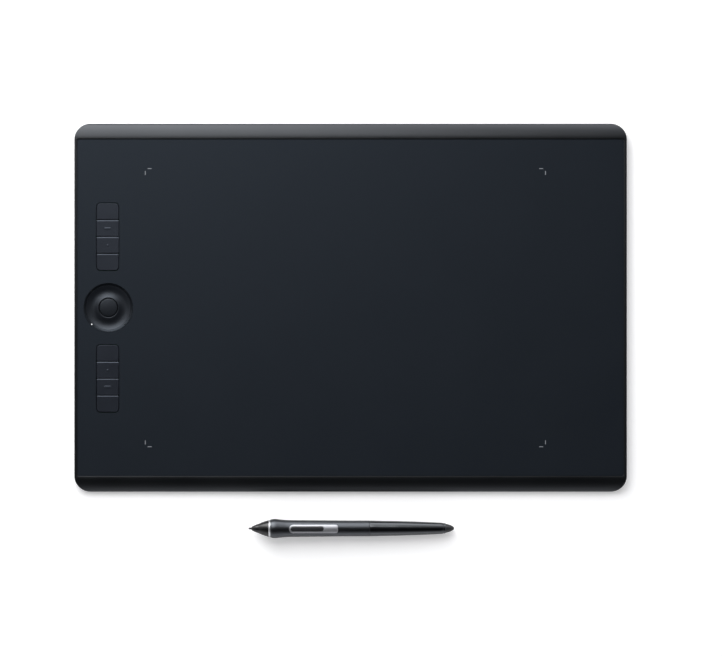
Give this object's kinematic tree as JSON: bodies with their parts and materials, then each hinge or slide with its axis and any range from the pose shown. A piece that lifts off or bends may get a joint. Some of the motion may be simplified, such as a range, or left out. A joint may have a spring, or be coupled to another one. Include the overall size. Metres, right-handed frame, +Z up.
{
  "type": "graphics tablet",
  "caption": "Flat pen tablet with a let-in drawing sheet, two blocks of press keys, a dished touch ring round a centre button, and a rubber-grip pen lying in front.",
  "frame": {"origin": "on the desk, under the centre of the tablet and its pen taken together", "axes": "+X along the long side to the right, +Y to the rear, away from the user, +Z up off the desk"},
  "size_m": [0.43, 0.3228, 0.015],
  "materials": {
    "casing": "satin, rolled front and rear edges",
    "cover": "black anodised, fine grain",
    "sheet": "matt, paper-like tooth",
    "keys": "satin moulded plastic",
    "ring": "satin moulded plastic",
    "rim": "gloss black",
    "window": "clear light pipe",
    "feet": "matt",
    "adhesive": "translucent adhesive film",
    "film": "polyimide film",
    "board": "solder-masked glass epoxy",
    "shield": "thin stamped sheet",
    "grid": "moulded",
    "chips": "moulded package",
    "leds": "clear lens",
    "pouch": "laminated pouch",
    "lead": "insulated wire",
    "shell": "drawn shell",
    "screws": "plain",
    "grip": "satin soft-touch sleeve",
    "pen_shell": "semi-gloss",
    "nib": "acetal",
    "eraser": "satin",
    "chrome_ring": "bright",
    "silver": "satin silver",
    "coil": "copper winding"
  },
  "bodies": {
    "tablet": {"top_frame": "casing", "back_cover": "cover", "surface_sheet": "sheet", "touch_ring": "ring", "ring_bezel": "rim", "light_pipes": "window", "rubber_feet": "feet", "sheet_adhesive": "adhesive", "battery_pad": "adhesive", "touch_film": "film", "ring_electrode": "film", "sensor_flex": "film", "touch_flex": "film", "key_flex": "film", "wireless_antenna": "film", "sensor_board": "board", "main_board": "board", "key_board": "board", "shield_plate": "shield", "key_domes": "shield", "support_grid": "grid", "touch_switch_body": "grid", "power_switch": "grid", "main_board_chips": "chips", "status_leds": "leds", "battery": "pouch", "battery_lead": "lead", "battery_plug": "lead", "usb_socket": "shell", "case_screws": "screws", "board_screws": "screws"},
    "pen": {"pen_grip": "grip", "pen_nose": "pen_shell", "pen_ring": "chrome_ring", "pen_barrel": "pen_shell", "eraser_collar": "pen_shell", "pen_core": "grid", "pen_board": "board", "pen_coil": "coil", "pressure_sensor": "coil", "switch_bezel": "silver", "pen_switch_domes": "shield", "rocker_pin": "screws"},
    "upper_key_1": {"upper_key_1": "keys"},
    "upper_key_2": {"upper_key_2": "keys"},
    "upper_key_3": {"upper_key_3": "keys"},
    "upper_key_4": {"upper_key_4": "keys"},
    "lower_key_1": {"lower_key_1": "keys"},
    "lower_key_2": {"lower_key_2": "keys"},
    "lower_key_3": {"lower_key_3": "keys"},
    "lower_key_4": {"lower_key_4": "keys"},
    "ring_button": {"ring_button": "keys"},
    "power_button": {"power_button": "keys"},
    "touch_switch": {"touch_switch": "keys"},
    "side_switch": {"side_switch": "pen_shell"},
    "pen_nib": {"pen_nib": "nib"},
    "pen_eraser": {"pen_eraser": "eraser"}
  },
  "joints": [
    {"name": "upper_key_1_press", "type": "slide", "parent": "tablet", "child": "upper_key_1", "axis": [0, 0, -1], "range_m": [0, 0.0003], "stiffness_N_per_m": 4500, "deforming": ["key_domes"]},
    {"name": "upper_key_2_press", "type": "slide", "parent": "tablet", "child": "upper_key_2", "axis": [0, 0, -1], "range_m": [0, 0.0003], "stiffness_N_per_m": 4500},
    {"name": "upper_key_3_press", "type": "slide", "parent": "tablet", "child": "upper_key_3", "axis": [0, 0, -1], "range_m": [0, 0.0003], "stiffness_N_per_m": 4500},
    {"name": "upper_key_4_press", "type": "slide", "parent": "tablet", "child": "upper_key_4", "axis": [0, 0, -1], "range_m": [0, 0.0003], "stiffness_N_per_m": 4500},
    {"name": "lower_key_1_press", "type": "slide", "parent": "tablet", "child": "lower_key_1", "axis": [0, 0, -1], "range_m": [0, 0.0003], "stiffness_N_per_m": 4500},
    {"name": "lower_key_2_press", "type": "slide", "parent": "tablet", "child": "lower_key_2", "axis": [0, 0, -1], "range_m": [0, 0.0003], "stiffness_N_per_m": 4500},
    {"name": "lower_key_3_press", "type": "slide", "parent": "tablet", "child": "lower_key_3", "axis": [0, 0, -1], "range_m": [0, 0.0003], "stiffness_N_per_m": 4500},
    {"name": "lower_key_4_press", "type": "slide", "parent": "tablet", "child": "lower_key_4", "axis": [0, 0, -1], "range_m": [0, 0.0003], "stiffness_N_per_m": 4500},
    {"name": "ring_button_press", "type": "slide", "parent": "tablet", "child": "ring_button", "axis": [0, 0, -1], "range_m": [0, 0.0003], "stiffness_N_per_m": 4500},
    {"name": "power_button_press", "type": "slide", "parent": "tablet", "child": "power_button", "axis": [1, 0, 0], "range_m": [0, 0.0003], "stiffness_N_per_m": 4000},
    {"name": "touch_switch_slide", "type": "slide", "parent": "tablet", "child": "touch_switch", "axis": [0, 1, 0], "range_m": [0, 0.003]},
    {"name": "pen_lift", "type": "slide", "parent": "tablet", "child": "pen", "axis": [0, 0, 1], "range_m": [0, 0.1]},
    {"name": "side_switch_rock", "type": "hinge", "parent": "pen", "child": "side_switch", "pos_m": [-0.03372, -0.15393, 0.01164], "axis": [0, 1, 0], "range_deg": [-2.5, 2.5], "stiffness_Nm_per_rad": 0.6},
    {"name": "nib_press", "type": "slide", "parent": "pen", "child": "pen_nib", "axis": [0.9998, 0, -0.0182], "range_m": [0, 0.0004], "stiffness_N_per_m": 2000},
    {"name": "eraser_press", "type": "slide", "parent": "pen", "child": "pen_eraser", "axis": [-0.9998, 0, 0.0182], "range_m": [0, 0.0005], "stiffness_N_per_m": 3000}
  ]
}
